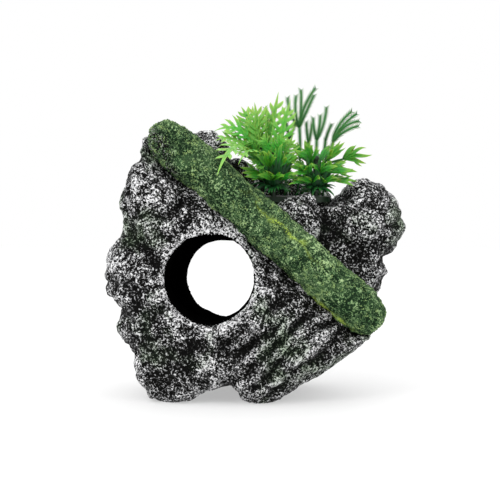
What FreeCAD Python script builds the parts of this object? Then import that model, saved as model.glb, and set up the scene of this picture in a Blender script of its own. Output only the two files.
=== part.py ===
"""Resin cave ornament: two rock castings, a mossy branch and a plug-in bunch of plastic plants.

Frame: millimetres, +X to the right of the cave mouth, +Y from the mouth to the back, +Z up.
The parts are drawn about a working origin under the cave, then moved so that the origin is the
middle of the bounding box's underside, on the surface that the ornament stands on.
"""

import FreeCAD
import Part
import math
import os
from FreeCAD import Matrix, Vector

os.makedirs("parts", exist_ok=True)

# ---------------------------------------------------------------- driving dimensions
SEAM_Y = -8.0  # plane where the front and rear castings are bonded
FRONT_Y = -37.5  # foremost point of the front casting
BACK_Y = 33.0  # rearmost point of the rear casting
TALL = 200.0  # longer than anything that a cutter has to pass through

MOUTH_R = 17.6  # front cave mouth
MOUTH_LIP_R = 20.4  # the mouth flares to this at the foremost point
MOUTH_LIP_Y = -33.0  # where the flare starts
MOUTH_AT = Vector(-14.3, 0, 52.4)
BACK_DOOR_R = 18.0  # rear opening, a little lower than the mouth
BACK_DOOR_AT = Vector(-12.6, 0, 47.2)
CAVE_AT = Vector(-15.5, -2.0, 49.6)  # middle of the hollow between the two openings
CAVE_R = 21.0
CAVE_HALF = 7.5  # half length of the hollow's straight part, left to right

BRANCH_UPPER = Vector(-34.4, -20.0, 110.4)
BRANCH_LOWER = Vector(52.0, -20.0, 34.4)
BRANCH_R = 9.5  # half width across the visible face
BRANCH_DEPTH_R = 12.0  # half depth, front to back

POCKET_FLOOR_Z = 83.0
POCKET_X = (-0.5, 36.0)
POCKET_Y = (-7.4, 12.4)

PLUG_AT = Vector(17.0, 2.4, 0)
PLUG_R = 4.0
PLUG_CLEARANCE = 0.05
PLUG_LENGTH = 8.0
SOCKET_DEPTH = 9.0

PLATE_X = (2.0, 34.6)
PLATE_Y = (-6.2, 11.2)
PLATE_T = 2.5
POST_R = 1.1
POST_SINK = 0.5  # how far a post runs down into the plate
KNOB_R = 1.45
RING_CLEARANCE = 0.05
RING_R = 2.2
RING_H = 2.2
PEG_R = 0.8
PEG_CLEARANCE = 0.05
PEG_DEPTH = 2.0
PEG_STAND = 1.0  # how far a peg stands above the plate
STALK_SINK = 0.4  # how far a stalk starts down inside its peg
STALK_OUT = 0.25  # how far outside the middle of a ring's wall a stalk starts
LEAF_T = 0.6
FORK_STALK_R = 0.55
FORK_STALK_TIP_R = 0.5
LOBE_BOW = 0.6  # rise of a forked leaf's lobe halfway along

# Outlines in X and Z, seen from the front. The feet dip below zero and are cut flat there.
FRONT_OUTLINE = [
    (-43.2, 110.0), (-44.8, 103.0), (-47.8, 96.5), (-51.4, 89.5), (-53.4, 83.5), (-51.6, 77.8),
    (-50.8, 73.0), (-53.6, 66.5), (-57.1, 60.0), (-58.8, 53.0), (-58.2, 46.0), (-55.1, 41.6),
    (-53.0, 38.0), (-54.0, 32.5), (-52.1, 26.5), (-48.1, 21.5), (-46.8, 15.5), (-43.4, 9.0),
    (-41.0, 2.6), (-35.2, -1.4), (-28.0, -1.0), (-21.5, 3.0), (-12.0, 6.0), (-6.5, 6.8),
    (-2.8, 2.4), (3.0, -1.4), (9.5, -1.2), (17.0, 3.2), (25.0, 8.8), (32.5, 14.3),
    (41.0, 20.2), (49.5, 25.8), (54.0, 30.5), (49.0, 37.4), (30.0, 54.0), (9.0, 72.4),
    (-12.0, 91.0), (-30.0, 107.0), (-37.0, 113.0),
]
REAR_OUTLINE = [
    (-42.0, 104.0), (-47.5, 91.0), (-48.5, 77.0), (-53.0, 62.0), (-54.0, 47.0), (-50.5, 35.0),
    (-49.0, 24.0), (-43.4, 10.5), (-39.2, 1.0), (-33.0, -2.4), (-25.0, -2.0), (-18.0, 3.0),
    (-9.0, 6.0), (-1.0, 1.0), (6.0, -2.4), (14.0, -1.8), (23.0, 6.4), (34.0, 15.6),
    (45.0, 27.0), (52.0, 42.0), (55.0, 57.0), (53.0, 70.0), (45.0, 79.0), (32.0, 81.0),
    (18.0, 80.0), (4.0, 85.0), (-7.0, 95.0), (-17.0, 103.0), (-30.0, 108.0),
]
# Each rounded lump: centre and radii.
REAR_LUMPS = {
    "right_shoulder": (Vector(49.0, 8.0, 72.5), Vector(17.8, 19.0, 16.5)),
    "right_crest": (Vector(50.0, 5.0, 80.3), Vector(10.5, 12.5, 11.5)),
    "right_flank": (Vector(45.5, 8.0, 54.0), Vector(13.0, 16.0, 16.0)),
    "front_knob": (Vector(21.0, -7.5, 74.0), Vector(11.2, 9.0, 12.4)),
    "left_crest": (Vector(-20.5, 6.0, 101.0), Vector(12.0, 13.0, 12.6)),
    "pocket_back": (Vector(15.0, 22.0, 74.0), Vector(29.0, 12.0, 14.5)),
    "left_of_plants": (Vector(-8.0, 17.0, 88.0), Vector(12.0, 5.5, 14.0)),
    "behind_plants": (Vector(14.0, 17.5, 82.0), Vector(22.0, 5.5, 11.0)),
}
FRONT_LUMPS = {
    "upper_shoulder": (Vector(-41.0, -24.0, 86.0), Vector(10.0, 11.5, 15.0)),
    "left_bulge": (Vector(-46.0, -24.0, 55.0), Vector(11.5, 12.0, 15.0)),
    "left_foot": (Vector(-33.0, -24.0, 19.0), Vector(14.0, 11.5, 16.0)),
    "right_foot": (Vector(5.0, -24.0, 16.0), Vector(13.0, 12.0, 15.5)),
    "under_branch": (Vector(20.0, -22.5, 33.0), Vector(18.0, 12.0, 12.0)),
}
# How each casting swells and closes from seam to tip: place along Y and share of the outline.
FRONT_SECTIONS = [
    (SEAM_Y, 0.965), (-15.0, 0.99), (-20.5, 1.0), (-26.0, 0.97), (-30.5, 0.90),
    (-34.0, 0.77), (-36.4, 0.52), (FRONT_Y, 0.2),
]
REAR_SECTIONS = [
    (SEAM_Y, 0.985), (0.0, 1.0), (9.0, 1.0), (18.0, 0.97), (25.0, 0.88),
    (29.5, 0.72), (32.0, 0.46), (BACK_Y, 0.2),
]
SWELL_CENTRE = (-6.0, 34.0)  # point in X and Z that the sections close towards
# The front casting rounds back under the branch: axis across from the branch's, and radius.
SHOULDER_OFF = 35.0
SHOULDER_Y = -6.2
SHOULDER_R = 31.3


# ---------------------------------------------------------------- shared shapes
def branch_axes():
    """Directions along the branch, down to the right, and across it, up to the right."""
    along = Vector(BRANCH_LOWER - BRANCH_UPPER).normalize()
    return along, Vector(-along.z, 0, along.x)


def smooth_loop(outline, y, share):
    """Closed curve of the outline in the plane at y, drawn in towards the swell centre."""
    cx, cz = SWELL_CENTRE
    points = [Vector(cx + (x - cx) * share, y, cz + (z - cz) * share) for x, z in outline]
    curve = Part.BSplineCurve()
    curve.interpolate(points, PeriodicFlag=True)
    return Part.Wire([curve.toShape()])


def casting(outline, sections):
    return Part.makeLoft([smooth_loop(outline, y, share) for y, share in sections], True, False)


def ellipsoid(centre, radii):
    ball = Part.makeSphere(1.0)
    scale = Matrix()
    scale.scale(radii)
    ball = ball.transformGeometry(scale)
    ball.translate(centre)
    return ball


def rod(radius, foot, height):
    return Part.makeCylinder(radius, height, foot)


def slot_block(x_range, y_range, z_low, height):
    """Upright block with a stadium-shaped plan, its round ends in X."""
    x0, x1 = x_range
    y0, y1 = y_range
    r = (y1 - y0) / 2.0
    middle = (y0 + y1) / 2.0
    block = Part.makeBox(x1 - x0 - 2 * r, y1 - y0, height, Vector(x0 + r, y0, z_low))
    for x in (x0 + r, x1 - r):
        block = block.fuse(rod(r, Vector(x, middle, z_low), height))
    return block.removeSplitter()


def fused(solids):
    return solids[0].multiFuse(solids[1:]) if len(solids) > 1 else solids[0]


def single_solid(shape, name):
    """The shape as one solid, refusing anything that fell apart."""
    if len(shape.Solids) != 1:
        raise ValueError(f"{name} is {len(shape.Solids)} solids")
    return shape.Solids[0]


# ---------------------------------------------------------------- rock and branch
# The branch's thickness: place along it and share of the full thickness.
BRANCH_PROFILE = [
    (-0.062, 0.30), (-0.050, 0.62), (-0.018, 0.92), (0.05, 1.04), (0.18, 1.0), (0.34, 0.97),
    (0.50, 1.0), (0.66, 0.98), (0.82, 1.0), (0.92, 1.03), (0.985, 0.93), (1.022, 0.66),
    (1.036, 0.30),
]
BRANCH_POINTS = 12  # points round each section of the branch


def branch():
    """Fat branch lying down the slope, from the upper left to the lower right."""
    length = Vector(BRANCH_LOWER - BRANCH_UPPER).Length
    direction, across = branch_axes()
    loops = []
    for place, share in BRANCH_PROFILE:
        centre = BRANCH_UPPER + direction * (place * length)
        ring = []
        for k in range(BRANCH_POINTS):
            turn = 2 * math.pi * k / BRANCH_POINTS
            sideways = across * (BRANCH_R * share * math.cos(turn))
            ring.append(centre + sideways + Vector(0, BRANCH_DEPTH_R * share * math.sin(turn), 0))
        curve = Part.BSplineCurve()
        curve.interpolate(ring, PeriodicFlag=True)
        loops.append(Part.Wire([curve.toShape()]))
    return Part.makeLoft(loops, True, False)


def below_floor():
    return Part.makeBox(2 * TALL, 2 * TALL, TALL, Vector(-TALL, -TALL, -TALL))


def round_ended_bar(centre, radius, half):
    """Bar with half-ball ends, lying along X."""
    left, right = centre - Vector(half, 0, 0), centre + Vector(half, 0, 0)
    up, slant = Vector(0, 0, radius), radius * math.sqrt(0.5)
    outline = [
        Part.Arc(left - Vector(radius, 0, 0), left + Vector(-slant, 0, slant), left + up).toShape(),
        Part.makeLine(left + up, right + up),
        Part.Arc(right + up, right + Vector(slant, 0, slant), right + Vector(radius, 0, 0)).toShape(),
        Part.makeLine(right + Vector(radius, 0, 0), left - Vector(radius, 0, 0)),
    ]
    return Part.Face(Part.Wire(outline)).revolve(centre, Vector(1, 0, 0), 360)


def cave_hollow():
    middle = Vector(0, CAVE_AT.y, 0)
    mouth = Part.makeCylinder(MOUTH_R, TALL, MOUTH_AT + middle, Vector(0, -1, 0))
    door = Part.makeCylinder(BACK_DOOR_R, TALL, BACK_DOOR_AT + middle, Vector(0, 1, 0))
    flare = Part.makeCone(
        MOUTH_R, MOUTH_LIP_R, MOUTH_LIP_Y - FRONT_Y, MOUTH_AT + Vector(0, MOUTH_LIP_Y, 0),
        Vector(0, -1, 0),
    )
    return round_ended_bar(CAVE_AT, CAVE_R, CAVE_HALF).fuse(mouth).fuse(door).fuse(flare)


def rear_rock(branch_solid, hollow):
    body = casting(REAR_OUTLINE, REAR_SECTIONS)
    for centre, radii in REAR_LUMPS.values():
        body = body.fuse(ellipsoid(centre, radii))
    pocket = slot_block(POCKET_X, POCKET_Y, POCKET_FLOOR_Z, TALL)
    socket_foot = Vector(PLUG_AT.x, PLUG_AT.y, POCKET_FLOOR_Z - SOCKET_DEPTH)
    socket = rod(PLUG_R + PLUG_CLEARANCE, socket_foot, SOCKET_DEPTH + 1.0)
    for cutter in (branch_solid, below_floor(), pocket, socket, hollow):
        body = body.cut(cutter)
    return body


def beyond_shoulder():
    """Everything in front of the rounded shoulder that runs along under the branch."""
    along, across = branch_axes()
    start = BRANCH_UPPER - along * TALL / 2.0
    corners = []
    for off, y in (
        (-SHOULDER_OFF, SHOULDER_Y), (-SHOULDER_OFF, -TALL), (TALL, -TALL), (TALL, SHOULDER_Y),
    ):
        corners.append(Vector(start.x, y, start.z) + across * off)
    block = Part.Face(Part.makePolygon(corners + corners[:1])).extrude(along * 2 * TALL)
    foot = Vector(start.x, SHOULDER_Y, start.z) - across * SHOULDER_OFF
    return block.cut(Part.makeCylinder(SHOULDER_R, 2 * TALL, foot, along))


def front_rock(branch_solid, rear_solid, hollow):
    body = casting(FRONT_OUTLINE, FRONT_SECTIONS)
    for centre, radii in FRONT_LUMPS.values():
        body = body.fuse(ellipsoid(centre, radii))
    behind_seam = Part.makeBox(2 * TALL, TALL, 2 * TALL, Vector(-TALL, SEAM_Y, -TALL))
    for cutter in (beyond_shoulder(), behind_seam, branch_solid, rear_solid, below_floor(), hollow):
        body = body.cut(cutter)
    # the branch parts off thin chips on its far side, which the casting does not have
    return max(body.Solids, key=lambda solid: solid.Volume)


# ---------------------------------------------------------------- plants
def bend(foot, via, tip):
    """Curve from foot to tip that passes through via halfway, as point and tangent functions."""
    middle = via * 2 - (foot + tip) * 0.5

    def point(t):
        return foot * ((1 - t) ** 2) + middle * (2 * t * (1 - t)) + tip * (t * t)

    def tangent(t):
        return ((middle - foot) * (1 - t) + (tip - middle) * t).normalize()

    return point, tangent


def swept(foot, via, tip, sections):
    """Closed strip along a bend. Each section is a share along it, the way its face looks, and
    its corners as offsets across and out of the face."""
    point, tangent = bend(foot, via, tip)
    loops = []
    for share, facing, corners in sections:
        along = tangent(share)
        across = along.cross(facing).normalize()
        face = across.cross(along)
        ring = [point(share) + across * u + face * v for u, v in corners]
        loops.append(Part.makePolygon(ring + ring[:1]))
    return Part.makeLoft(loops, True, True)


def blade(foot, via, tip, width, tilt, outline):
    """Leaf blade. tilt is 0 when its face looks forward and 90 when it looks up."""
    turn = math.radians(tilt)
    facing = Vector(0, -math.cos(turn), math.sin(turn))
    sections = []
    for share, wide in outline:
        u, v = width * wide / 2.0, LEAF_T / 2.0
        sections.append((share, facing, [(u, v), (-u, v), (-u, -v), (u, -v)]))
    return swept(foot, via, tip, sections)


def stalk(foot, via, tip, radius, end_radius, steps):
    """Curved tapering six-sided stalk."""
    facing = Vector(0.1, -1, 0.2)
    sections = []
    for k in range(steps + 1):
        r = radius + (end_radius - radius) * k / steps
        turns = [math.pi * j / 3 for j in range(6)]
        sections.append((k / steps, facing, [(r * math.cos(a), r * math.sin(a)) for a in turns]))
    return swept(foot, via, tip, sections)


def ring_on(post, z):
    """Moulded ring that threads over a post, its underside at z."""
    foot = Vector(post.x, post.y, z)
    return rod(RING_R, foot, RING_H).cut(rod(POST_R + RING_CLEARANCE, foot, RING_H))


def ring_edge(post, z, towards):
    """Point inside the ring's wall where a stalk that leads towards a point starts."""
    wall = (RING_R + POST_R + RING_CLEARANCE) / 2.0
    out = Vector(towards.x - post.x, towards.y - post.y, 0).normalize()
    return Vector(post.x, post.y, z + RING_H / 2.0) + out * (wall + STALK_OUT)


# Shares of a leaf's length and of its full width, from root to tip.
SERRATED = [
    (0.0, 0.13), (0.20, 0.15), (0.29, 0.80), (0.34, 0.38), (0.46, 1.0), (0.51, 0.44),
    (0.63, 0.86), (0.68, 0.36), (0.79, 0.52), (0.84, 0.24), (1.0, 0.06),
]
LANCE = [(0.0, 0.28), (0.25, 0.55), (0.50, 1.0), (0.75, 0.68), (1.0, 0.12)]

TALL_POST = Vector(5.2, 0.5, 107.6)  # the z is the knob's centre
LEFT_POST = Vector(10.4, -4.6, 103.6)
RIGHT_POST = Vector(28.5, -3.6, 101.6)
POSTS = (TALL_POST, LEFT_POST, RIGHT_POST)

# Serrated leaves: halfway point, tip, width, tilt.
SERRATED_WHORLS = {
    "serrated_whorl_upper": (TALL_POST, 103.4, [
        (Vector(0.2, 3.2, 116.0), Vector(-4.2, 4.4, 124.4), 8.0, 20),
        (Vector(3.4, -1.8, 115.5), Vector(2.1, -2.6, 125.8), 7.5, 15),
        (Vector(9.4, 2.2, 116.3), Vector(12.2, 3.0, 130.6), 8.5, 10),
    ]),
    "serrated_whorl_middle": (TALL_POST, 100.6, [
        (Vector(-4.0, -3.0, 113.6), Vector(-15.1, -6.0, 113.4), 7.5, 35),
        (Vector(-6.0, -5.0, 109.6), Vector(-14.4, -8.6, 109.2), 6.5, 45),
        (Vector(3.0, 9.5, 112.0), Vector(-2.0, 16.0, 118.0), 7.0, 60),
    ]),
    "serrated_whorl_lower": (TALL_POST, 97.8, [
        (Vector(-4.6, -17.0, 106.6), Vector(-11.4, -34.0, 94.4), 9.0, 55),
        (Vector(1.4, -16.5, 105.2), Vector(-3.2, -28.0, 99.0), 6.0, 60),
        (Vector(-3.5, 7.0, 106.0), Vector(-12.0, 12.5, 109.6), 7.0, 60),
    ]),
    "serrated_whorl_front": (LEFT_POST, 99.4, [
        (Vector(14.3, -4.6, 114.0), Vector(17.8, -5.2, 126.8), 7.5, 10),
        (Vector(15.8, -5.2, 104.8), Vector(18.8, -5.8, 112.0), 6.0, 20),
        (Vector(4.8, -8.4, 99.4), Vector(0.2, -10.6, 100.6), 4.6, 45),
    ]),
}
# Forked leaves: where the lobes part, the lobes' tips, width of a lobe, tilt.
FORKED_WHORLS = {
    "forked_whorl_left_upper": (LEFT_POST, 95.4, [
        (Vector(11.8, -8.4, 97.4), [
            Vector(8.4, -10.4, 105.2), Vector(14.6, -9.8, 108.0), Vector(20.1, -9.0, 104.0),
        ], 2.6, 15),
        (Vector(15.4, -2.6, 98.0), [Vector(19.6, -0.6, 104.4), Vector(21.6, -3.0, 101.4)], 2.4, 25),
    ]),
    "forked_whorl_left_lower": (LEFT_POST, 91.2, [
        (Vector(7.2, -7.4, 93.4), [
            Vector(-3.8, -7.6, 98.0), Vector(-3.0, -10.4, 95.6), Vector(-1.6, -12.4, 94.0),
            Vector(3.4, -10.6, 97.8),
        ], 2.6, 30),
        (Vector(12.8, -8.8, 93.2), [Vector(10.0, -15.0, 94.4), Vector(15.2, -15.0, 94.6)], 2.2, 60),
    ]),
    "forked_whorl_right_upper": (RIGHT_POST, 97.4, [
        (Vector(40.0, -0.6, 101.4), [
            Vector(45.3, -1.4, 107.1), Vector(50.1, -0.4, 106.3), Vector(52.7, 0.8, 103.3),
            Vector(50.2, 1.6, 99.6),
        ], 2.2, 25),
        (Vector(25.6, -5.2, 101.6), [Vector(23.8, -4.2, 109.7), Vector(27.4, -6.4, 107.4)], 2.4, 15),
        (Vector(34.0, -2.4, 101.6), [
            Vector(39.0, -2.8, 109.4), Vector(41.2, -3.2, 106.4), Vector(37.2, -1.2, 108.2),
        ], 1.3, 15),
    ]),
    "forked_whorl_right_middle": (RIGHT_POST, 93.9, [
        (Vector(33.6, -5.6, 95.6), [
            Vector(35.0, -7.2, 100.8), Vector(44.4, -8.4, 97.2), Vector(41.5, -5.6, 99.9),
            Vector(46.2, -3.0, 96.0),
        ], 3.0, 30),
        (Vector(25.2, -8.6, 95.4), [
            Vector(18.5, -12.4, 94.6), Vector(21.7, -11.4, 98.8), Vector(27.8, -10.8, 99.2),
        ], 2.6, 30),
    ]),
    "forked_whorl_right_lower": (RIGHT_POST, 90.4, [
        (Vector(36.0, -4.6, 92.2), [
            Vector(46.2, -5.2, 92.0), Vector(44.4, -9.0, 90.0), Vector(43.0, -1.4, 92.8),
        ], 2.4, 45),
        (Vector(24.6, -9.0, 91.2), [Vector(17.0, -12.6, 90.6), Vector(21.0, -15.0, 92.4)], 2.2, 60),
    ]),
}

# Needle fronds: peg hole, then each stalk as (parent, halfway point, tip). A parent of None
# starts at the peg, any other number starts at that stalk's tip.
FROND_R = 0.95
FROND_ROOT_R = 0.7
FRONDS = {
    "needle_frond_left": (Vector(9.6, 7.4, 0), [
        (None, Vector(8.6, 9.6, 103.0), Vector(7.4, 10.6, 116.0)),
        (0, Vector(6.8, 11.0, 120.0), Vector(6.2, 11.2, 124.0)),
        (0, Vector(8.8, 11.0, 119.6), Vector(9.6, 11.2, 122.4)),
    ]),
    "needle_frond_back": (Vector(14.6, 9.2, 0), [
        (None, Vector(15.8, 11.6, 99.0), Vector(16.6, 12.6, 110.5)),
        (0, Vector(15.9, 13.0, 114.6), Vector(14.9, 13.2, 119.5)),
        (0, Vector(18.2, 13.2, 114.2), Vector(19.2, 13.6, 117.6)),
    ]),
    "needle_frond_tall": (Vector(20.0, 7.8, 0), [
        (None, Vector(21.4, 8.8, 100.0), Vector(21.2, 9.0, 115.6)),
        (0, Vector(17.4, 9.0, 121.2), Vector(16.0, 9.2, 128.2)),
        (0, Vector(19.5, 8.8, 121.8), Vector(19.6, 8.9, 129.0)),
        (0, Vector(21.9, 9.2, 123.8), Vector(21.8, 9.2, 131.6)),
        (0, Vector(23.4, 9.0, 124.4), Vector(28.0, 9.4, 132.4)),
        (0, Vector(24.4, 8.6, 122.6), Vector(27.4, 8.2, 129.2)),
    ]),
    "needle_frond_middle": (Vector(25.0, 9.0, 0), [
        (None, Vector(25.2, 10.2, 98.0), Vector(25.2, 10.6, 108.6)),
        (0, Vector(24.5, 11.0, 113.0), Vector(24.2, 11.2, 117.6)),
        (0, Vector(26.2, 11.0, 113.0), Vector(26.6, 11.2, 117.0)),
    ]),
    "needle_frond_fanned": (Vector(27.6, 4.6, 0), [
        (None, Vector(28.4, 5.6, 98.0), Vector(28.8, 6.0, 110.0)),
        (0, Vector(27.6, 6.0, 114.8), Vector(27.2, 6.0, 119.2)),
        (0, Vector(29.9, 6.0, 115.2), Vector(30.3, 6.0, 120.3)),
        (0, Vector(31.6, 6.2, 116.2), Vector(33.0, 6.2, 123.8)),
    ]),
    "needle_frond_short": (Vector(29.6, 8.6, 0), [
        (None, Vector(31.4, 9.6, 98.0), Vector(32.6, 9.6, 109.6)),
        (0, Vector(33.7, 9.4, 113.2), Vector(35.2, 9.2, 116.6)),
    ]),
    "needle_frond_right": (Vector(31.4, 4.6, 0), [
        (None, Vector(33.2, 5.6, 97.0), Vector(35.9, 6.0, 109.0)),
        (0, Vector(38.0, 6.2, 115.6), Vector(43.8, 6.4, 122.2)),
        (0, Vector(39.6, 6.6, 115.4), Vector(46.0, 7.2, 121.2)),
        (0, Vector(40.6, 5.6, 115.2), Vector(46.9, 5.4, 118.0)),
        (0, Vector(40.8, 4.8, 113.4), Vector(46.7, 4.2, 115.8)),
    ]),
}

# Grass tufts: post, height of the ring, first azimuth, last azimuth, number of blades.
TUFTS = {
    "grass_tuft_right": (RIGHT_POST, 87.2, 182, 352, 13),
    "grass_tuft_left": (LEFT_POST, 88.0, 190, 300, 8),
}
TUFT_REACH = 10.0
TUFT_DROOP = 0.8  # how far the longest blades' tips hang below the ring
SHORT_BLADE = 0.72  # reach of every other blade as a share of the longest
SHORT_BLADE_RISE = 4.0
BLADE_BOW = 1.2  # rise of a blade's middle above the line from root to tip
GRASS_R = 0.32
GRASS_TIP_R = 0.12


def plant_base():
    """Moulded base: plug, plate with peg holes, and three posts with knobbed tips."""
    top = POCKET_FLOOR_Z + PLATE_T
    body = slot_block(PLATE_X, PLATE_Y, POCKET_FLOOR_Z, PLATE_T)
    plug_foot = Vector(PLUG_AT.x, PLUG_AT.y, POCKET_FLOOR_Z - PLUG_LENGTH)
    body = body.fuse(rod(PLUG_R, plug_foot, PLUG_LENGTH))
    for post in POSTS:
        body = body.fuse(rod(POST_R, Vector(post.x, post.y, top - POST_SINK), post.z - top + POST_SINK))
        body = body.fuse(Part.makeSphere(KNOB_R, post))
    for hole, _ in FRONDS.values():
        foot = Vector(hole.x, hole.y, top - PEG_DEPTH)
        body = body.cut(rod(PEG_R + PEG_CLEARANCE, foot, PEG_DEPTH + 1.0))
    return body


def serrated_whorl(post, z, leaves):
    solids = [ring_on(post, z)]
    for via, tip, width, tilt in leaves:
        solids.append(blade(ring_edge(post, z, via), via, tip, width, tilt, SERRATED))
    return fused(solids)


def forked_whorl(post, z, leaves):
    solids = [ring_on(post, z)]
    for fork, tips, width, tilt in leaves:
        foot = ring_edge(post, z, fork)
        solids.append(stalk(foot, (foot + fork) * 0.5, fork, FORK_STALK_R, FORK_STALK_TIP_R, 1))
        for tip in tips:
            via = (fork + tip) * 0.5 + Vector(0, 0, LOBE_BOW)
            solids.append(blade(fork, via, tip, width, tilt, LANCE))
    return fused(solids)


def frond(hole, stalks):
    top = POCKET_FLOOR_Z + PLATE_T
    solids = [rod(PEG_R, Vector(hole.x, hole.y, top - PEG_DEPTH), PEG_DEPTH + PEG_STAND)]
    peg_top = Vector(hole.x, hole.y, top + PEG_STAND)
    tips = []
    for parent, via, tip in stalks:
        foot = peg_top - Vector(0, 0, STALK_SINK) if parent is None else tips[parent]
        root_r = FROND_ROOT_R if parent is None else FROND_R
        solids.append(stalk(foot, via, tip, root_r, FROND_R, 4))
        tips.append(tip)
    return fused(solids)


def grass_tuft(post, z, first, last, count):
    solids = [ring_on(post, z)]
    for k in range(count):
        azimuth = math.radians(first + (last - first) * k / (count - 1))
        out = Vector(math.cos(azimuth), math.sin(azimuth), 0)
        low = k % 2 == 0  # every other blade stands up higher and is shorter
        reach = TUFT_REACH if low else TUFT_REACH * SHORT_BLADE
        rise = -TUFT_DROOP if low else SHORT_BLADE_RISE
        foot = ring_edge(post, z, post + out)
        tip = foot + out * (reach - RING_R) + Vector(0, 0, rise)
        via = (foot + tip) * 0.5 + Vector(0, 0, BLADE_BOW)
        solids.append(stalk(foot, via, tip, GRASS_R, GRASS_TIP_R, 3))
    return fused(solids)


# ---------------------------------------------------------------- assembly
def build():
    """Every node by name, about the working origin."""
    nodes = {}
    branch_solid = branch()
    hollow = cave_hollow()
    nodes["rear_rock"] = rear_rock(branch_solid, hollow)
    nodes["front_rock"] = front_rock(branch_solid, nodes["rear_rock"], hollow)
    nodes["mossy_branch"] = branch_solid
    nodes["plant_base"] = plant_base()
    for name, (post, z, leaves) in SERRATED_WHORLS.items():
        nodes[name] = serrated_whorl(post, z, leaves)
    for name, (post, z, leaves) in FORKED_WHORLS.items():
        nodes[name] = forked_whorl(post, z, leaves)
    for name, (hole, stalks) in FRONDS.items():
        nodes[name] = frond(hole, stalks)
    for name, (post, z, first, last, count) in TUFTS.items():
        nodes[name] = grass_tuft(post, z, first, last, count)
    return {name: single_solid(shape, name) for name, shape in nodes.items()}


def main():
    nodes = build()
    box = FreeCAD.BoundBox()
    for shape in nodes.values():
        box.add(shape.optimalBoundingBox())
    shift = Vector(-box.Center.x, -box.Center.y, -box.ZMin)
    print("shift to the frame", [round(v, 3) for v in shift])
    print("size", round(box.XLength, 2), round(box.YLength, 2), round(box.ZLength, 2))
    for name, shape in nodes.items():
        shape.translate(shift)
        shape.exportStep(f"parts/{name}.step")
        print(name, "valid" if shape.isValid() else "INVALID", round(shape.Volume, 1), "mm3")


main()
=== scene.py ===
"""Looks of the resin cave ornament: painted rock, mossy branch and plastic plants.

Shapes are worked out in millimetres about the drawing's origin, then written in metres.
"""

import math
import random

import bmesh
import bpy
import numpy as np
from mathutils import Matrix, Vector, noise


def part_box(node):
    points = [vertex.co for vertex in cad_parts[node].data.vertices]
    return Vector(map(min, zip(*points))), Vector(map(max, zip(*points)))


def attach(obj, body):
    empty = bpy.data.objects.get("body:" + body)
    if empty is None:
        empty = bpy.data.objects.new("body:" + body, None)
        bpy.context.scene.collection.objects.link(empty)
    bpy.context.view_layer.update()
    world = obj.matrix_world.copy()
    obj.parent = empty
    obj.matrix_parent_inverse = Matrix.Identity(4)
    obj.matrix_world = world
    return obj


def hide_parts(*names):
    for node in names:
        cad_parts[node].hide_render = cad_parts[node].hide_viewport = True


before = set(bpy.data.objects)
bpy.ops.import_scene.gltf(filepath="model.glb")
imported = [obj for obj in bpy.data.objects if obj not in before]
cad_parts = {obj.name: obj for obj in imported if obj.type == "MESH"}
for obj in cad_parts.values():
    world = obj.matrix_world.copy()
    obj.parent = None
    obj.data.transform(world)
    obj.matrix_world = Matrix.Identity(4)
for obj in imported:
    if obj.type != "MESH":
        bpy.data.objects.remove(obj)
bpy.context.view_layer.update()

MM = 0.001
# The plate's lowest corner in the drawing fixes where the drawing's origin is in the frame.
PLATE_CORNER = Vector((2.0, -6.2, 75.0))
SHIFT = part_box("plant_base")[0] / MM - PLATE_CORNER

SEAM_Y = -8.0
MOUTH_AT = (-14.3, 52.4)
MOUTH_R = 17.6
BACK_DOOR_AT = (-12.6, 47.2)
BACK_DOOR_R = 18.0
CAVE_AT = np.array((-15.5, -2.0, 49.6))
CAVE_R = 21.0
CAVE_HALF = 7.5  # half length of the hollow's straight part, left to right
POCKET_LOW = (-0.5, -7.4)
POCKET_HIGH = (36.0, 12.4)
POCKET_FLOOR_Z = 83.0
PLATE_TOP = 85.5
BRANCH_UPPER = np.array((-34.4, -20.0, 110.4))
BRANCH_LOWER = np.array((52.0, -20.0, 34.4))
STRATA_SLOPE = math.radians(36.0)
STRATA_PITCH = 7.6
RELIEF_LIMITS = (-2.2, 1.8)  # how far the rough skin may leave the smooth casting, in mm
# Lumps of the rock's skin: period in mm, seed, middle value, height in mm.
ROCK_LUMPS = ((19.0, 1, 0.33, 1.9), (9.0, 2, 0.33, 1.35), (4.6, 3, 0.30, 0.6))
GRIT_PERIOD = 2.0
GRIT_HEIGHT = 0.28
RIM_WIDTH = 1.6  # half width of the painted highlight round the cave's mouth, in mm
INSIDE_SHARE = 0.35  # a face this far into the cave gets the cave's black: base coat without dry brush, darkened further as painted shade
# Voxel sizes that the skins are remeshed with, in mm.
FRONT_VOXEL = 0.62
REAR_VOXEL = 0.74
BRANCH_VOXEL = 0.5
SMOOTHING_ROUNDS = 60
FULL_EXPOSURE = 0.8  # standing out by this many mm counts as fully exposed

collection = bpy.context.scene.collection


# ---------------------------------------------------------------- mesh helpers
def to_frame(points_mm):
    """Drawing millimetres to frame metres, for an array of points."""
    return (np.asarray(points_mm, float) + np.array(SHIFT)) * MM


def from_frame(points_m):
    return np.asarray(points_m, float) / MM - np.array(SHIFT)


def vectors_of(items, name):
    """One vector of each item as an array."""
    flat = np.zeros(len(items) * 3)
    items.foreach_get(name, flat)
    return flat.reshape(-1, 3)


def move_vertices(mesh, points_mm):
    mesh.vertices.foreach_set("co", to_frame(points_mm).ravel())
    mesh.update()


def linked(name, data):
    """Object of some data, put into the scene."""
    obj = bpy.data.objects.new(name, data)
    collection.objects.link(obj)
    return obj


def new_object(name, verts_mm, faces):
    mesh = bpy.data.meshes.new(name)
    mesh.from_pydata([tuple(p) for p in to_frame(verts_mm)], [], faces)
    mesh.update()
    mesh.polygons.foreach_set("use_smooth", [True] * len(mesh.polygons))
    return linked(name, mesh)


def add_attribute(mesh, name, values):
    layer = mesh.attributes.new(name, "FLOAT", "POINT")
    layer.data.foreach_set("value", np.asarray(values, np.float32))


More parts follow.
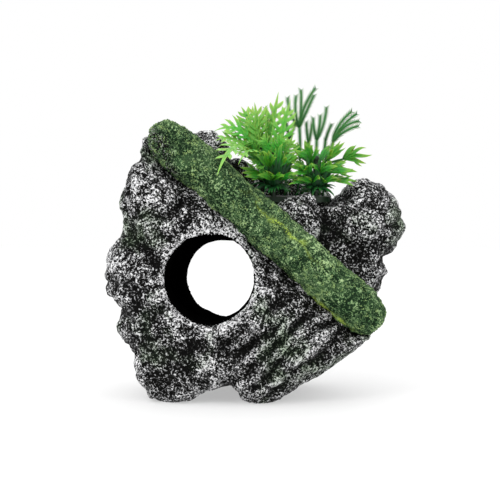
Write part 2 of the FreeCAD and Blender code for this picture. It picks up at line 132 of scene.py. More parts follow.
def evaluated_copy(obj, name):
    """Plain mesh object from obj with its modifiers worked in."""
    graph = bpy.context.evaluated_depsgraph_get()
    mesh = bpy.data.meshes.new_from_object(obj.evaluated_get(graph))
    mesh.name = name
    return linked(name, mesh)


def remeshed(node, name, voxel_mm):
    """Even skin over a CAD node's solid."""
    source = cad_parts[node]
    work = bmesh.new()
    work.from_mesh(source.data)
    bmesh.ops.remove_doubles(work, verts=work.verts, dist=0.002 * MM)
    bmesh.ops.recalc_face_normals(work, faces=work.faces)
    mesh = bpy.data.meshes.new(name + "_solid")
    work.to_mesh(mesh)
    work.free()
    solid = linked(name + "_solid", mesh)
    voxels = solid.modifiers.new("voxels", "REMESH")
    voxels.mode = "VOXEL"
    voxels.voxel_size = voxel_mm * MM
    voxels.use_smooth_shade = True
    skin = evaluated_copy(solid, name)
    bpy.data.objects.remove(solid)
    return skin


def smoothstep(low, high, value):
    t = np.clip((value - low) / (high - low), 0.0, 1.0)
    return t * t * (3.0 - 2.0 * t)


def field(points, period, seed, stretch=None):
    """Perlin noise at each point, about -1 to 1, with features about a period across in mm."""
    scaled = points / period
    if stretch is not None:
        direction, factor = stretch
        along = scaled @ direction
        scaled = scaled + np.outer(along * (factor - 1.0), direction)
    offset = Vector((seed * 17.3, seed * -9.1, seed * 5.7))
    values = [noise.noise(Vector(p) + offset) for p in scaled.tolist()]
    return np.array(values) * 1.8


# ---------------------------------------------------------------- rock
def rock_relief(points, front):
    """Height in mm that the rough skin stands off the smooth casting."""
    x, _, z = points.T
    relief = GRIT_HEIGHT * field(points, GRIT_PERIOD, 4)
    for period, seed, middle, tall in ROCK_LUMPS:
        relief = relief + tall * (np.abs(field(points, period, seed)) - middle)
    warp = field(points, 15.0, 5)
    across = -math.sin(STRATA_SLOPE) * x + math.cos(STRATA_SLOPE) * z
    strata = np.sin(across * math.tau / STRATA_PITCH + 2.4 * warp)
    # the strata show low on the right of the front, and on the rear's right shoulder
    if front:
        zone = smoothstep(-14.0, 6.0, x + 0.2 * z) * smoothstep(46.0, 32.0, z)
    else:
        zone = smoothstep(30.0, 44.0, x) * 0.5
    relief = relief * (1.0 - 0.3 * zone) + zone * (0.8 * strata + 0.1)
    return np.clip(relief, *RELIEF_LIMITS)


def exposure(mesh, points, normals):
    """How far each vertex stands out of a smoothed copy of the surface, about -1 to 1."""
    ends = np.zeros(len(mesh.edges) * 2, np.int32)
    mesh.edges.foreach_get("vertices", ends)
    a, b = ends[0::2], ends[1::2]
    size = len(points)
    count = np.maximum(np.bincount(a, minlength=size) + np.bincount(b, minlength=size), 1)
    smooth = points
    for _ in range(SMOOTHING_ROUNDS):
        columns = [
            np.bincount(a, column[b], size) + np.bincount(b, column[a], size) for column in smooth.T
        ]
        smooth = np.stack(columns, axis=1) / count[:, None]
    return np.clip(((points - smooth) * normals).sum(axis=1) / FULL_EXPOSURE, -1.0, 1.0)


def mouth_rim(points):
    """1 on the edge round the cave's mouth that takes a painted highlight, fading out over about 2 mm."""
    x, y, z = points.T
    off = np.hypot(x - MOUTH_AT[0], z - MOUTH_AT[1]) - (MOUTH_R + RIM_WIDTH)
    return np.exp(-((off / RIM_WIDTH) ** 2)) * (y < -20.0)


def cave_depth(points):
    """How far a point lies inside the cave's mouth, door or hollow: 0 outside, 1 well inside."""
    x, y, z = points.T
    mouth = np.hypot(x - MOUTH_AT[0], z - MOUTH_AT[1]) - MOUTH_R
    door = np.hypot(x - BACK_DOOR_AT[0], z - BACK_DOOR_AT[1]) - BACK_DOOR_R
    off = points - CAVE_AT
    off[:, 0] = np.sign(off[:, 0]) * np.maximum(np.abs(off[:, 0]) - CAVE_HALF, 0.0)
    hollow = np.linalg.norm(off, axis=1) - CAVE_R
    front_in = smoothstep(1.4, 0.3, mouth) * smoothstep(-37.0, -34.0, y) * (y < -1.0)
    rear_in = smoothstep(2.8, 0.6, door) * smoothstep(39.0, 35.5, y) * (y > -3.0)
    return np.clip(front_in + rear_in + smoothstep(0.8, 0.2, hollow), 0.0, 1.0)


def paint_inside(mesh, inside):
    """Gives the faces inside the cave the second material, a black that is partly painted shade."""
    corners = np.zeros(len(mesh.loops), np.int32)
    mesh.loops.foreach_get("vertex_index", corners)
    starts = np.zeros(len(mesh.polygons), np.int32)
    mesh.polygons.foreach_get("loop_start", starts)
    mesh.polygons.foreach_set("material_index", (inside[corners[starts]] > INSIDE_SHARE).astype(np.int32))


def rock_skin(node, voxel_mm, front, materials):
    skin = remeshed(node, node + "_skin", voxel_mm)
    mesh = skin.data
    mesh.materials.clear()
    for material in materials:
        mesh.materials.append(material)
    points = from_frame(vectors_of(mesh.vertices, "co"))
    normals = vectors_of(mesh.vertex_normals, "vector")
    relief = rock_relief(points, front)
    inside = cave_depth(points)
    x, y, z = points.T
    on_seam = (np.abs(y - SEAM_Y) < 0.6) & (np.abs(normals[:, 1]) > 0.7)
    in_pocket = (
        (x > POCKET_LOW[0] - 1.0) & (x < POCKET_HIGH[0] + 1.0)
        & (y > POCKET_LOW[1] - 0.4) & (y < POCKET_HIGH[1] + 0.8)
        & (z > POCKET_FLOOR_Z - 12.0) & (z < POCKET_FLOOR_Z + 1.2)
    )
    # calmer in the cave and on its rim, flat on the seam, and never out into the pocket
    height = relief * (1.0 - 0.75 * inside) * (1.0 - 0.6 * mouth_rim(points)) - 0.45 * inside
    height = np.where(on_seam, -0.15, height)
    height = np.where(in_pocket, np.minimum(height, 0.0) * 0.2, height)
    height *= smoothstep(0.0, 2.5, z)
    moved = points + normals * height[:, None]
    moved[:, 2] = np.maximum(moved[:, 2], 0.0)
    moved[points[:, 2] < 0.35, 2] = 0.0
    move_vertices(mesh, moved)
    # relief and exposure steer the dry brush, which lays real paint on raised parts and also darkens the
    # hollows as painted shade; the mouth_rim term brightens the cave's rim as a painted highlight
    shown = 0.5 + relief / 9.0 + 0.22 * exposure(mesh, moved, normals) + 0.26 * mouth_rim(points)
    add_attribute(mesh, "relief", np.clip(shown, 0.0, 1.0))
    paint_inside(mesh, inside)
    return skin


def branch_skin():
    skin = remeshed("mossy_branch", "branch_skin", BRANCH_VOXEL)
    mesh = skin.data
    points = from_frame(vectors_of(mesh.vertices, "co"))
    normals = vectors_of(mesh.vertex_normals, "vector")
    length = np.linalg.norm(BRANCH_LOWER - BRANCH_UPPER)
    along = (BRANCH_LOWER - BRANCH_UPPER) / length
    up = np.array((-along[2], 0.0, along[0]))
    share = (points - BRANCH_UPPER) @ along / length
    height = (points - BRANCH_UPPER) @ up
    lumps = field(points, 14.0, 11)
    knots = np.abs(field(points, 6.5, 12))
    fibre = field(points, 2.4, 13)
    relief = 0.6 * lumps + 0.8 * (knots - 0.33) + 0.3 * fibre
    crack = field(points, 3.6, 14, stretch=(along, 0.25))
    relief -= 0.6 * smoothstep(0.22, 0.05, np.abs(crack)) * smoothstep(0.1, 0.6, lumps)
    worn = smoothstep(0.12, -0.04, share)  # the upper end is slimmer
    moved = points + normals * (relief - 1.5 * worn - 0.25)[:, None]
    move_vertices(mesh, moved)
    drift = field(points, 9.0, 15)
    bare = smoothstep(0.16, 0.0, share + 0.08 * drift) * smoothstep(5.0, -3.0, height)
    # bright yellow-green runs as a painted highlight in a wavering vein over the middle and along the
    # lower end's edge
    wander = field(points, 5.0, 16)
    vein = height - 5.6 - 1.4 * drift - 1.5 * wander
    highlight_streak = np.exp(-(((share - 0.54) / 0.11) ** 2) - (vein / 0.8) ** 2)
    edge = smoothstep(0.72, 0.84, share) * np.exp(-(((height + 9.0 + 0.5 * drift) / 0.8) ** 2))
    add_attribute(mesh, "relief", np.clip(0.5 + relief / 2.8, 0.0, 1.0))
    add_attribute(mesh, "lower", np.clip(share, 0.0, 1.0))
    add_attribute(mesh, "bare", bare)
    add_attribute(mesh, "highlight_streak", np.clip(highlight_streak + edge, 0.0, 1.0))
    return skin


# ---------------------------------------------------------------- shader building
# An input is of the kind of its default, and a vector where it has none.
SOCKET_KINDS = {
    float: "NodeSocketFloat", int: "NodeSocketInt", tuple: "NodeSocketColor",
    type(None): "NodeSocketVector",
}


def add_inputs(tree, inputs):
    for label, default in inputs.items():
        kind = SOCKET_KINDS[type(default)]
        socket = tree.interface.new_socket(label, in_out="INPUT", socket_type=kind)
        if default is not None:
            socket.default_value = (*default, 1.0) if isinstance(default, tuple) else default


def group(name, inputs, outputs):
    """Empty shader node group with its named sockets. Each output is a Float or a Color."""
    tree = bpy.data.node_groups.new(name, "ShaderNodeTree")
    add_inputs(tree, inputs)
    for label, kind in outputs.items():
        tree.interface.new_socket(label, in_out="OUTPUT", socket_type="NodeSocket" + kind)
    return tree, tree.nodes.new("NodeGroupInput").outputs, tree.nodes.new("NodeGroupOutput")


def feed(tree, node, inputs):
    """Links a node's inputs to sockets, or sets them to plain values."""
    for name, source in inputs.items():
        socket = node.inputs[name]
        if isinstance(source, bpy.types.NodeSocket):
            tree.links.new(source, socket)
        elif socket.type == "RGBA":
            socket.default_value = (*source, 1.0)
        else:
            socket.default_value = source


def node_in(tree, kind, inputs, **settings):
    """Adds a node, sets its properties and feeds its inputs."""
    made = tree.nodes.new(kind)
    for key, value in settings.items():
        setattr(made, key, value)
    feed(tree, made, inputs)
    return made


def math_in(tree, operation, a, b=0.0, clamp=False):
    made = node_in(tree, "ShaderNodeMath", {0: a, 1: b}, operation=operation, use_clamp=clamp)
    return made.outputs[0]


def about_middle(tree, value, amount):
    """How far a value between 0 and 1 lies from its middle, times an amount."""
    return math_in(tree, "MULTIPLY", math_in(tree, "SUBTRACT", value, 0.5), amount)


def ramp_in(tree, source, stops):
    """Grey or coloured ramp. Its stops are a position and a grey value or a colour."""
    made = tree.nodes.new("ShaderNodeValToRGB")
    elements = made.color_ramp.elements
    while len(elements) < len(stops):
        elements.new(0.5)
    for element, (position, colour) in zip(elements, stops):
        element.position = position
        shown = colour if isinstance(colour, tuple) else (colour, colour, colour)
        element.color = (*shown, 1.0)
    tree.links.new(source, made.inputs[0])
    return made.outputs[0]


def mix_in(tree, share, a, b):
    """Colour a where the share is 0 and colour b where it is 1."""
    made = node_in(
        tree, "ShaderNodeMix", {0: share, 6: a, 7: b}, data_type="RGBA", clamp_factor=True
    )
    return made.outputs[2]


def noise_in(tree, vector, scale, detail=2.0, rough=0.5, distortion=0.0):
    return node_in(
        tree, "ShaderNodeTexNoise",
        {"Vector": vector, "Scale": scale, "Detail": detail, "Roughness": rough,
         "Distortion": distortion},
    ).outputs[0]


# Dry brushing. The presence is how full the brush is at a spot, from 0 to 1.
RELIEF_LIFT = 0.95  # what relief adds to the presence
PATCH_DRIFT = 0.9  # what broad patches add to it
THREAD_HEIGHT = 0.62
GRAIN_HEIGHT = 0.50
GRAIN_FINENESS = 1.55  # scale of the grains over that of the threads
EMPTY_REACH = 0.70  # height that an empty brush still catches
FULL_REACH = 0.62  # how much lower a full brush reaches
PAINT_EDGE = 2.3  # how sharply paint starts
EMPTY_STRENGTH = 0.52
FULL_STRENGTH = 0.60  # what a full brush adds to that


def dry_brush_group():
    """Worm-eaten relief whose raised threads and grains catch a dry brush over black pits."""
    tree, ins, outs = group(
        "dry_brush",
        {"Position": None, "Relief": 0.5, "Thread Scale": 690.0, "Coverage": 0.5},
        {"Paint": "Float", "Height": "Float"},
    )
    position = ins["Position"]
    scale = ins["Thread Scale"]
    broad = noise_in(tree, position, 150.0, 3.0, 0.6)
    thread = noise_in(tree, position, scale, 1.0, 0.5, 1.1)
    finer = math_in(tree, "MULTIPLY", scale, GRAIN_FINENESS)
    grain = noise_in(tree, position, finer, 1.0, 0.5, 0.5)
    # a thread runs wherever the noise crosses its middle value
    off = math_in(tree, "ABSOLUTE", about_middle(tree, thread, 9.0))
    threads = math_in(tree, "SUBTRACT", 1.0, off, clamp=True)
    grains = ramp_in(tree, grain, [(0.47, 0.0), (0.60, 1.0)])
    height = math_in(
        tree, "ADD", math_in(tree, "MULTIPLY", threads, THREAD_HEIGHT),
        math_in(tree, "MULTIPLY", grains, GRAIN_HEIGHT), clamp=True,
    )
    lift = about_middle(tree, ins["Relief"], RELIEF_LIFT)
    drift = about_middle(tree, broad, PATCH_DRIFT)
    presence = math_in(
        tree, "ADD", math_in(tree, "ADD", lift, drift), ins["Coverage"], clamp=True
    )
    # where little paint was left on the brush only the tallest threads caught it
    reached = math_in(tree, "SUBTRACT", height, EMPTY_REACH)
    reached = math_in(tree, "ADD", reached, math_in(tree, "MULTIPLY", presence, FULL_REACH))
    caught = math_in(tree, "MULTIPLY", reached, PAINT_EDGE, clamp=True)
    strength = math_in(tree, "MULTIPLY", presence, FULL_STRENGTH)
    strength = math_in(tree, "ADD", strength, EMPTY_STRENGTH)
    paint = math_in(tree, "MULTIPLY", caught, strength, clamp=True)
    feed(tree, outs, {"Paint": paint, "Height": height})
    return tree


def algae_group():
    """Patchy green film with a soft edge."""
    tree, ins, outs = group(
        "algae_film", {"Position": None, "Patch Scale": 42.0, "Amount": 0.5}, {"Mask": "Float"}
    )
    patches = noise_in(tree, ins["Position"], ins["Patch Scale"], 4.0, 0.62)
    shifted = math_in(tree, "ADD", patches, math_in(tree, "SUBTRACT", ins["Amount"], 0.5))
    feed(tree, outs, {"Mask": ramp_in(tree, shifted, [(0.53, 0.0), (0.66, 1.0)])})
    return tree


def speckle_group():
    """Flocked moss: three greens by how far the paint has taken, in patches."""
    tree, ins, outs = group(
        "moss_speckle",
        {
            "Position": None, "Paint": 0.5, "Deep": (0.009, 0.024, 0.010),
            "Middle": (0.095, 0.195, 0.078), "Bright": (0.42, 0.57, 0.28),
            "Patch Scale": 95.0,
        },
        {"Color": "Color"},
    )
    clump = noise_in(tree, ins["Position"], ins["Patch Scale"], 4.0, 0.62)
    lifted = math_in(tree, "ADD", ins["Paint"], about_middle(tree, clump, 1.2))
    low = ramp_in(tree, lifted, [(0.0, 0.0), (0.42, 1.0)])
    high = ramp_in(tree, lifted, [(0.5, 0.0), (1.0, 1.0)])
    colour = mix_in(tree, low, ins["Deep"], ins["Middle"])
    colour = mix_in(tree, high, colour, ins["Bright"])
    feed(tree, outs, {"Color": colour})
    return tree


def leaf_tone_group():
    """Colour of a moulded leaf: darker root, tinted rib, lighter tip, and a tone of its own."""
    tree, ins, outs = group(
        "leaf_tone",
        {
            "Position": None, "Along": 0.5, "Rib": 0.0, "Tone": 0.5,
            "Root": (0.02, 0.12, 0.01), "Body": (0.10, 0.45, 0.04),
            "Other Body": (0.20, 0.42, 0.06), "Tip": (0.35, 0.60, 0.08),
        },
        {"Color": "Color", "Height": "Float"},
    )
    mottle = noise_in(tree, ins["Position"], 260.0, 3.0, 0.6)
    shifted = math_in(tree, "ADD", ins["Along"], about_middle(tree, mottle, 0.5))
    to_body = ramp_in(tree, shifted, [(0.0, 0.0), (0.42, 1.0)])
    to_tip = ramp_in(tree, shifted, [(0.62, 0.0), (1.0, 1.0)])
    body = mix_in(tree, ins["Tone"], ins["Body"], ins["Other Body"])
    colour = mix_in(tree, to_body, ins["Root"], body)
    colour = mix_in(tree, to_tip, colour, ins["Tip"])
    ribbed = math_in(tree, "MULTIPLY", ins["Rib"], 0.5)
    colour = mix_in(tree, ribbed, colour, ins["Root"])
    feed(tree, outs, {"Color": colour, "Height": mottle})
    return tree


GROUPS = {
    "dry_brush": dry_brush_group(),
    "algae_film": algae_group(),
    "moss_speckle": speckle_group(),
    "leaf_tone": leaf_tone_group(),
}


def use_group(tree, name, inputs):
    return node_in(tree, "ShaderNodeGroup", inputs, node_tree=GROUPS[name]).outputs


def start_material(name):
    material = bpy.data.materials.new(name)
    material.use_nodes = True
    tree = material.node_tree
    shader = tree.nodes["Principled BSDF"]
    place = tree.nodes.new("ShaderNodeTexCoord").outputs["Object"]
    return material, tree, shader, place


def attribute_in(tree, name):
    return node_in(tree, "ShaderNodeAttribute", {}, attribute_name=name).outputs["Fac"]


def bump_in(tree, shader, height, strength, distance_mm):
    made = node_in(
        tree, "ShaderNodeBump",
        {"Height": height, "Strength": strength, "Distance": distance_mm * MM},
    )
    feed(tree, shader, {"Normal": made.outputs[0]})


def rock_material():
    material, tree, shader, place = start_material("painted_rock")
    relief = attribute_in(tree, "relief")
    brush = use_group(tree, "dry_brush", {"Position": place, "Relief": relief, "Coverage": 0.39})
    colour = ramp_in(tree, brush["Paint"], [
        (0.0, (0.0012, 0.0012, 0.0010)), (0.20, (0.007, 0.008, 0.006)),
        (0.42, (0.085, 0.086, 0.085)), (0.68, (0.40, 0.40, 0.41)),
        (0.95, (0.88, 0.88, 0.89)),
    ])
    film = use_group(tree, "algae_film", {"Position": place, "Patch Scale": 36.0, "Amount": 0.49})
    green = mix_in(tree, brush["Paint"], (0.004, 0.009, 0.004), (0.30, 0.42, 0.25))
    colour = mix_in(tree, math_in(tree, "MULTIPLY", film["Mask"], 0.7), colour, green)
    rough = ramp_in(tree, brush["Paint"], [(0.0, 0.65), (1.0, 0.9)])
    feed(tree, shader, {"Base Color": colour, "Roughness": rough, "Specular IOR Level": 0.08})
    bump_in(tree, shader, brush["Height"], 0.8, 0.45)
    return material


def cave_material():
    """Black inside of the cave: the base coat without dry brushing, made all but lightless as painted
    shade of the hollow.
    """
    material, tree, shader, place = start_material("cave_black")
    tone = noise_in(tree, place, 260.0, 3.0)
    # near-lightless black with no sheen, darker than real paint: painted shade
    colour = ramp_in(
        tree, tone,
        [(0.3, (0.0004, 0.0004, 0.0004)), (0.7, (0.0016, 0.0016, 0.0015))],
    )
    feed(tree, shader, {"Base Color": colour, "Roughness": 1.0, "Specular IOR Level": 0.0})
    return material


def branch_material():
    material, tree, shader, place = start_material("mossy_branch")
    relief = attribute_in(tree, "relief")
    lower = attribute_in(tree, "lower")
    brush = use_group(
        tree, "dry_brush",
        {"Position": place, "Relief": relief, "Thread Scale": 620.0, "Coverage": 0.42},
    )
    moss = use_group(tree, "moss_speckle", {"Position": place, "Paint": brush["Paint"]})
    grey = ramp_in(tree, brush["Paint"], [
        (0.0, (0.004, 0.004, 0.004)), (0.4, (0.035, 0.040, 0.032)),
        (1.0, (0.42, 0.45, 0.40)),
    ])
    amount = math_in(tree, "SUBTRACT", 0.46, math_in(tree, "MULTIPLY", lower, 0.14))
    film = use_group(tree, "algae_film", {"Position": place, "Patch Scale": 70.0, "Amount": amount})
    greyed = math_in(
        tree, "MAXIMUM", math_in(tree, "MULTIPLY", film["Mask"], 0.55), attribute_in(tree, "bare")
    )
    colour = mix_in(tree, greyed, moss["Color"], grey)
    # painted highlight: the vein and the lower end's edge turn bright yellow-green
    lit = math_in(
        tree, "MULTIPLY", attribute_in(tree, "highlight_streak"),
        ramp_in(tree, brush["Height"], [(0.05, 0.25), (0.4, 1.0)]),
    )
    colour = mix_in(tree, lit, colour, (0.52, 0.70, 0.11))
    feed(tree, shader, {"Base Color": colour, "Roughness": 0.92, "Specular IOR Level": 0.08})
    bump_in(tree, shader, brush["Height"], 0.7, 0.35)
    return material


def moss_material():
    material, tree, shader, place = start_material("moss_tufts")
    tone = noise_in(tree, place, 420.0, 2.0, 0.6)
    colour = ramp_in(
        tree, tone,
        [(0.36, (0.022, 0.055, 0.020)), (0.50, (0.095, 0.19, 0.070)),
         (0.66, (0.34, 0.48, 0.17))],
    )
    feed(tree, shader, {"Base Color": colour, "Roughness": 0.85})
    return material


# Each plastic's colours: root, body, the other body, tip.
PLASTICS = {
    "bright_leaf": (
        (0.020, 0.16, 0.008), (0.060, 0.52, 0.040), (0.25, 0.52, 0.075), (0.34, 0.68, 0.13),
    ),
    "forked_leaf": (
        (0.002, 0.035, 0.004), (0.022, 0.32, 0.018), (0.070, 0.36, 0.015), (0.27, 0.58, 0.06),
    ),
    "needle": (
        (0.008, 0.085, 0.015), (0.030, 0.21, 0.030), (0.070, 0.28, 0.040), (0.18, 0.50, 0.09),
    ),
    "grass": (
        (0.002, 0.022, 0.006), (0.008, 0.09, 0.018), (0.016, 0.12, 0.020), (0.03, 0.22, 0.035),
    ),
    "plant_base": (
        (0.004, 0.018, 0.005), (0.008, 0.035, 0.008), (0.008, 0.035, 0.008), (0.02, 0.08, 0.02),
    ),
}


def plastic_material(name):
    material, tree, shader, place = start_material(name)
    root, body, other, tip = PLASTICS[name]
    tone = use_group(
        tree, "leaf_tone",
        {"Position": place, "Along": attribute_in(tree, "along"), "Rib": attribute_in(tree, "rib"),
         "Tone": attribute_in(tree, "tone"), "Root": root, "Body": body, "Other Body": other,
         "Tip": tip},
    )
    feed(tree, shader, {
        "Base Color": tone["Color"], "Roughness": 0.45, "Specular IOR Level": 0.4,
        "Subsurface Weight": 0.25, "Subsurface Scale": 1.2 * MM,
    })
    bump_in(tree, shader, tone["Height"], 0.25, 0.2)
    return material


# ---------------------------------------------------------------- leaves
class Builder:
    """Collects closed shells for one piece, in drawing millimetres."""

    def __init__(self):
        self.verts, self.faces, self.along, self.rib, self.tones = [], [], [], [], []
        self.tone = 0.0  # tone of the leaf now being added

    def loft(self, rings, along, rib):
        """Closed tube through rings of equal size, capped at both ends."""
        start, size = len(self.verts), len(rings[0])
        for ring, share, ribs in zip(rings, along, rib):
            self.verts.extend(ring)
            self.along.extend([share] * size)
            self.rib.extend(ribs)
            self.tones.extend([self.tone] * size)
        for k in range(len(rings) - 1):
            for j in range(size):
                a = start + k * size + j
                b = start + k * size + (j + 1) % size
                self.faces.append((a, b, b + size, a + size))
        self.faces.append(tuple(start + j for j in reversed(range(size))))
        last = start + (len(rings) - 1) * size
        self.faces.append(tuple(last + j for j in range(size)))

    def finished(self, name, material):
        obj = new_object(name, self.verts, self.faces)
        work = bmesh.new()
        work.from_mesh(obj.data)
        bmesh.ops.recalc_face_normals(work, faces=work.faces)
        work.to_mesh(obj.data)
        work.free()
        add_attribute(obj.data, "along", self.along)
        add_attribute(obj.data, "rib", self.rib)
        add_attribute(obj.data, "tone", self.tones)
        obj.data.materials.append(material)
        return obj


def bend(foot, via, tip):
    """Curve through via halfway: functions for the point and the direction."""
    foot, via, tip = Vector(foot), Vector(via), Vector(tip)
    middle = via * 2 - (foot + tip) * 0.5

    def point(t):
        return foot * (1 - t) ** 2 + middle * (2 * t * (1 - t)) + tip * (t * t)

    def tangent(t):
        return ((middle - foot) * (1 - t) + (tip - middle) * t).normalized()

    return point, tangent


def forward_tilted(tilt):
    """Direction a leaf's face looks: 0 forwards, 90 straight up."""
    turn = math.radians(tilt)
    return Vector((0, -math.cos(turn), math.sin(turn)))


def across_at(tangent, facing):
    across = tangent.cross(facing).normalized()
    return across, across.cross(tangent)


# A blade's section: shares of its half width, of its hollow and of its thickness.
BLADE_SECTION = (
    (-1.0, 1.0, 0.0), (-0.5, 0.35, 0.25), (0.0, 0.0, 0.75), (0.5, 0.35, 0.25),
    (1.0, 1.0, 0.0), (0.5, 0.35, -0.45), (0.0, 0.0, -0.6), (-0.5, 0.35, -0.45),
)
BLADE_RIB = [0, 0.2, 1, 0.2, 0, 0.2, 1, 0.2]  # how much of the midrib each corner shows
BLADE_TIP = 0.05  # width of the tip, as a share
BLADE_THINNING = 0.55
STALK_SIDES = 7


def add_blade(out, foot, via, tip, facing, width, rows, base, belly, thick=0.34, cup=0.18,
              start=0.0, end=1.0, sway=0.0):
    """Pointed blade with a raised midrib.

    base is the width at its foot as a share, belly is where it is widest, cup is how hollow it
    is, and start and end are its shares along the whole leaf.
    """
    point, tangent = bend(foot, via, tip)
    rings, along = [], []
    for k in range(rows + 1):
        t = k / rows
        side, face = across_at(tangent(t), facing)
        if t < belly:
            swell = base + (1.0 - base) * math.sin(0.5 * math.pi * t / belly)
        else:
            swell = max(BLADE_TIP, math.cos(0.5 * math.pi * (t - belly) / (1.0 - belly)) ** 0.85)
        half = 0.5 * width * swell
        depth = thick * (1.0 - BLADE_THINNING * t)
        middle = point(t) + side * (sway * math.sin(math.tau * t) * t)
        rings.append([
            middle + side * (u * half) + face * (hollow * cup * half + solid * depth)
            for u, hollow, solid in BLADE_SECTION
        ])
        along.append(start + (end - start) * t)
    out.loft(rings, along, [BLADE_RIB] * len(rings))


def add_stalk(out, foot, via, tip, radius, end_radius, end, rows=6):
    """Tapering round stalk, coloured from the leaf's root up to the share end along it."""
    point, tangent = bend(foot, via, tip)
    rings, along = [], []
    for k in range(rows + 1):
        t = k / rows
        side, face = across_at(tangent(t), Vector((0.1, -1, 0.2)))
        r = radius + (end_radius - radius) * t
        rings.append([
            point(t) + side * (r * math.cos(math.tau * j / STALK_SIDES))
            + face * (r * math.sin(math.tau * j / STALK_SIDES))
            for j in range(STALK_SIDES)
        ])
        along.append(end * t)
    out.loft(rings, along, [[0.0] * STALK_SIDES] * len(rings))


RING_R = 2.2
RING_BORE_R = 1.15
RING_H = 2.2
RING_SIDES = 28
RING_EDGE = 0.25  # size of the ring's softened edges
STALK_OUT = 0.25  # how far outside the middle of a ring's wall a stalk starts


def add_ring(out, post, z):
    """Moulded collar with softened edges, closed round its bore."""
    profile = [
        (RING_BORE_R, 0.0), (RING_R - RING_EDGE, 0.0), (RING_R, RING_EDGE),
        (RING_R, RING_H - RING_EDGE), (RING_R - RING_EDGE, RING_H), (RING_BORE_R, RING_H),
    ]
    start, size = len(out.verts), len(profile)
    for j in range(RING_SIDES):
        turn = math.tau * j / RING_SIDES
        for r, h in profile:
            x, y = post[0] + r * math.cos(turn), post[1] + r * math.sin(turn)
            out.verts.append(Vector((x, y, z + h)))
            out.along.append(0.0)
            out.rib.append(0.0)
            out.tones.append(0.0)
    for j in range(RING_SIDES):
        for k in range(size):
            a = start + j * size + k
            b = start + j * size + (k + 1) % size
            c = start + ((j + 1) % RING_SIDES) * size + (k + 1) % size
            d = start + ((j + 1) % RING_SIDES) * size + k
            out.faces.append((a, d, c, b))


def ring_edge(post, z, towards):
    wall = (RING_R + RING_BORE_R) / 2.0
    out = Vector((towards[0] - post[0], towards[1] - post[1], 0)).normalized()
    return Vector((post[0], post[1], z + RING_H / 2.0)) + out * (wall + STALK_OUT)


TALL_POST = (5.2, 0.5)
LEFT_POST = (10.4, -4.6)
RIGHT_POST = (28.5, -3.6)

# Serrated leaves: halfway point, tip, width, tilt.
SERRATED_WHORLS = {
    "serrated_whorl_upper": (TALL_POST, 103.4, [
        ((0.2, 3.2, 116.0), (-4.2, 4.4, 124.4), 8.0, 20),
        ((3.4, -1.8, 115.5), (2.1, -2.6, 125.8), 7.5, 15),
        ((9.4, 2.2, 116.3), (12.2, 3.0, 130.6), 8.5, 10),
    ]),
    "serrated_whorl_middle": (TALL_POST, 100.6, [
        ((-4.0, -3.0, 113.6), (-15.1, -6.0, 113.4), 7.5, 35),
        ((-6.0, -5.0, 109.6), (-14.4, -8.6, 109.2), 6.5, 45),
        ((3.0, 9.5, 112.0), (-2.0, 16.0, 118.0), 7.0, 60),
    ]),
    "serrated_whorl_lower": (TALL_POST, 97.8, [
        ((-4.6, -17.0, 106.6), (-11.4, -34.0, 94.4), 9.0, 55),
        ((1.4, -16.5, 105.2), (-3.2, -28.0, 99.0), 6.0, 60),
        ((-3.5, 7.0, 106.0), (-12.0, 12.5, 109.6), 7.0, 60),
    ]),
    "serrated_whorl_front": (LEFT_POST, 99.4, [
        ((14.3, -4.6, 114.0), (17.8, -5.2, 126.8), 7.5, 10),
        ((15.8, -5.2, 104.8), (18.8, -5.8, 112.0), 6.0, 20),
        ((4.8, -8.4, 99.4), (0.2, -10.6, 100.6), 4.6, 45),
    ]),
}
# Forked leaves: where the lobes part, the lobes' tips, width of a lobe, tilt.
FORKED_WHORLS = {
    "forked_whorl_left_upper": (LEFT_POST, 95.4, [
        ((11.8, -8.4, 97.4), [
            (8.4, -10.4, 105.2), (14.6, -9.8, 108.0), (20.1, -9.0, 104.0),
        ], 2.6, 15),
        ((15.4, -2.6, 98.0), [(19.6, -0.6, 104.4), (21.6, -3.0, 101.4)], 2.4, 25),
    ]),
    "forked_whorl_left_lower": (LEFT_POST, 91.2, [
        ((7.2, -7.4, 93.4), [
            (-3.8, -7.6, 98.0), (-3.0, -10.4, 95.6), (-1.6, -12.4, 94.0), (3.4, -10.6, 97.8),
        ], 2.6, 30),
        ((12.8, -8.8, 93.2), [(10.0, -15.0, 94.4), (15.2, -15.0, 94.6)], 2.2, 60),
    ]),
    "forked_whorl_right_upper": (RIGHT_POST, 97.4, [
        ((40.0, -0.6, 101.4), [
            (45.3, -1.4, 107.1), (50.1, -0.4, 106.3), (52.7, 0.8, 103.3), (50.2, 1.6, 99.6),
        ], 2.2, 25),
        ((25.6, -5.2, 101.6), [(23.8, -4.2, 109.7), (27.4, -6.4, 107.4)], 2.4, 15),
        ((34.0, -2.4, 101.6), [
            (39.0, -2.8, 109.4), (41.2, -3.2, 106.4), (37.2, -1.2, 108.2),
        ], 1.3, 15),
    ]),
    "forked_whorl_right_middle": (RIGHT_POST, 93.9, [
        ((33.6, -5.6, 95.6), [
            (35.0, -7.2, 100.8), (44.4, -8.4, 97.2), (41.5, -5.6, 99.9), (46.2, -3.0, 96.0),
        ], 3.0, 30),
        ((25.2, -8.6, 95.4), [
            (18.5, -12.4, 94.6), (21.7, -11.4, 98.8), (27.8, -10.8, 99.2),
        ], 2.6, 30),
    ]),
    "forked_whorl_right_lower": (RIGHT_POST, 90.4, [
        ((36.0, -4.6, 92.2), [
            (46.2, -5.2, 92.0), (44.4, -9.0, 90.0), (43.0, -1.4, 92.8),
        ], 2.4, 45),
        ((24.6, -9.0, 91.2), [(17.0, -12.6, 90.6), (21.0, -15.0, 92.4)], 2.2, 60),
    ]),
}
